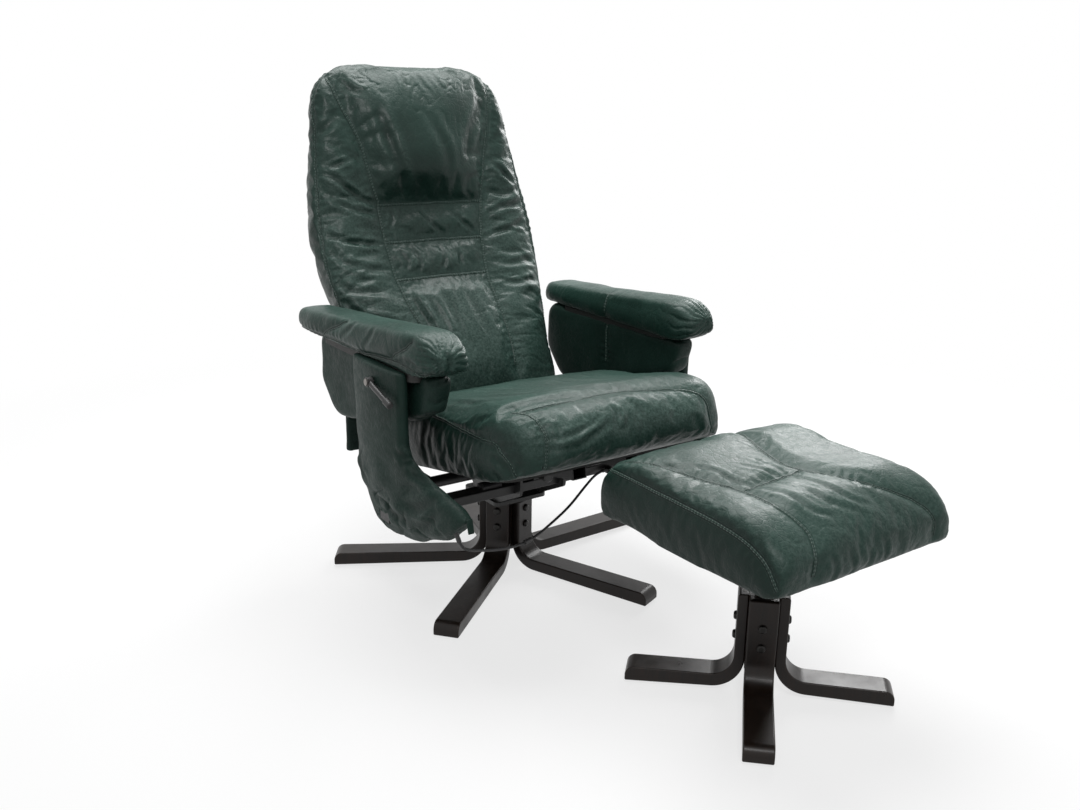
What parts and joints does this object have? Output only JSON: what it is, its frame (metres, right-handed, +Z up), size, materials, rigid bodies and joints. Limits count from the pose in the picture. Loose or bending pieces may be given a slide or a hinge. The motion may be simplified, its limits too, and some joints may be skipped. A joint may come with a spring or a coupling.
{
  "type": "recliner armchair with footstool",
  "caption": "Swivel recliner with padded leather seat, tall back, drooping arm sleeves and a bentwood star base, with a matching footstool.",
  "frame": {"origin": "on the floor under the middle of the chair and footstool together", "axes": "+Z up, -Y the way the chair faces at rest, +X to the sitter's left"},
  "size_m": [0.7142, 1.3056, 1.0151],
  "materials": {
    "green_leather": "satin",
    "stained_beech": "satin",
    "plywood": "matte",
    "black_steel": "satin",
    "zinc_steel": "satin",
    "chromed_steel": "gloss",
    "glide_plastic": "matte",
    "black_rubber": "matte"
  },
  "bodies": {
    "base": {"base_hub": "stained_beech", "base_leg_1": "stained_beech", "base_leg_2": "stained_beech", "base_leg_3": "stained_beech", "base_leg_4": "stained_beech", "base_leg_5": "stained_beech", "base_leg_bolts": "zinc_steel", "base_glides": "glide_plastic", "swivel_bush": "glide_plastic"},
    "carrier": {"swivel_spindle": "zinc_steel", "swivel_plate": "black_steel", "seat_risers": "black_steel", "cross_beam": "black_steel", "rear_cross_tube": "black_steel", "seat_rails": "black_steel", "hinge_arms": "black_steel", "hinge_pins": "zinc_steel", "arm_bracket_right": "black_steel", "arm_bracket_left": "black_steel", "beam_bumper": "black_rubber", "arm_board_right": "plywood", "arm_board_left": "plywood", "arm_roll_right": "green_leather", "arm_roll_left": "green_leather", "arm_side_pad_right": "green_leather", "arm_side_pad_left": "green_leather", "arm_sleeve_right": "green_leather", "arm_sleeve_left": "green_leather", "seat_pan": "plywood", "seat_cushion": "green_leather", "gas_cylinder": "black_steel", "gas_saddle": "black_steel", "release_cable": "black_rubber", "cable_ferrules": "chromed_steel", "cable_adjuster": "chromed_steel", "cable_anchor": "black_steel", "sleeve_strap": "green_leather", "lever_pin": "zinc_steel"},
    "back": {"back_frame": "black_steel", "back_cushion": "green_leather", "back_lugs": "black_steel", "back_crossbar": "black_steel", "gas_clevis": "black_steel", "gas_pin": "zinc_steel", "rear_skirt": "green_leather"},
    "gas_rod_body": {"gas_rod": "chromed_steel"},
    "lever": {"release_lever": "black_steel", "lever_knob": "glide_plastic"},
    "stool": {"stool_hub": "stained_beech", "stool_leg_1": "stained_beech", "stool_leg_2": "stained_beech", "stool_leg_3": "stained_beech", "stool_leg_4": "stained_beech", "stool_leg_bolts": "zinc_steel", "stool_glides": "glide_plastic", "stool_post": "black_steel", "stool_plate": "black_steel", "stool_board": "plywood", "stool_screws": "zinc_steel", "stool_cushion": "green_leather"}
  },
  "joints": [
    {"name": "swivel", "type": "hinge", "parent": "base", "child": "carrier", "pos_m": [0, 0.223, 0.1565], "axis": [0, 0, 1], "continuous": true},
    {"name": "recline", "type": "hinge", "parent": "carrier", "child": "back", "pos_m": [0, 0.373, 0.278], "axis": [-1, 0, 0], "range_deg": [0, 20]},
    {"name": "gas_slide", "type": "slide", "parent": "carrier", "child": "gas_rod_body", "axis": [0, -1, 0], "range_m": [0, 0.0142]},
    {"name": "lever_lift", "type": "hinge", "parent": "carrier", "child": "lever", "pos_m": [-0.351, 0.119, 0.47], "axis": [-1, 0, 0], "range_deg": [0, 18], "stiffness_Nm_per_rad": 0.5, "springref_deg": -17.19},
    {"name": "stool_slide", "type": "slide", "parent": "base", "child": "stool", "axis": [0, -1, 0], "range_m": [0, 0.3]}
  ],
  "couplings": [
    {"joint": "gas_slide", "follows": "recline", "m_per_rad": 0.04}
  ]
}
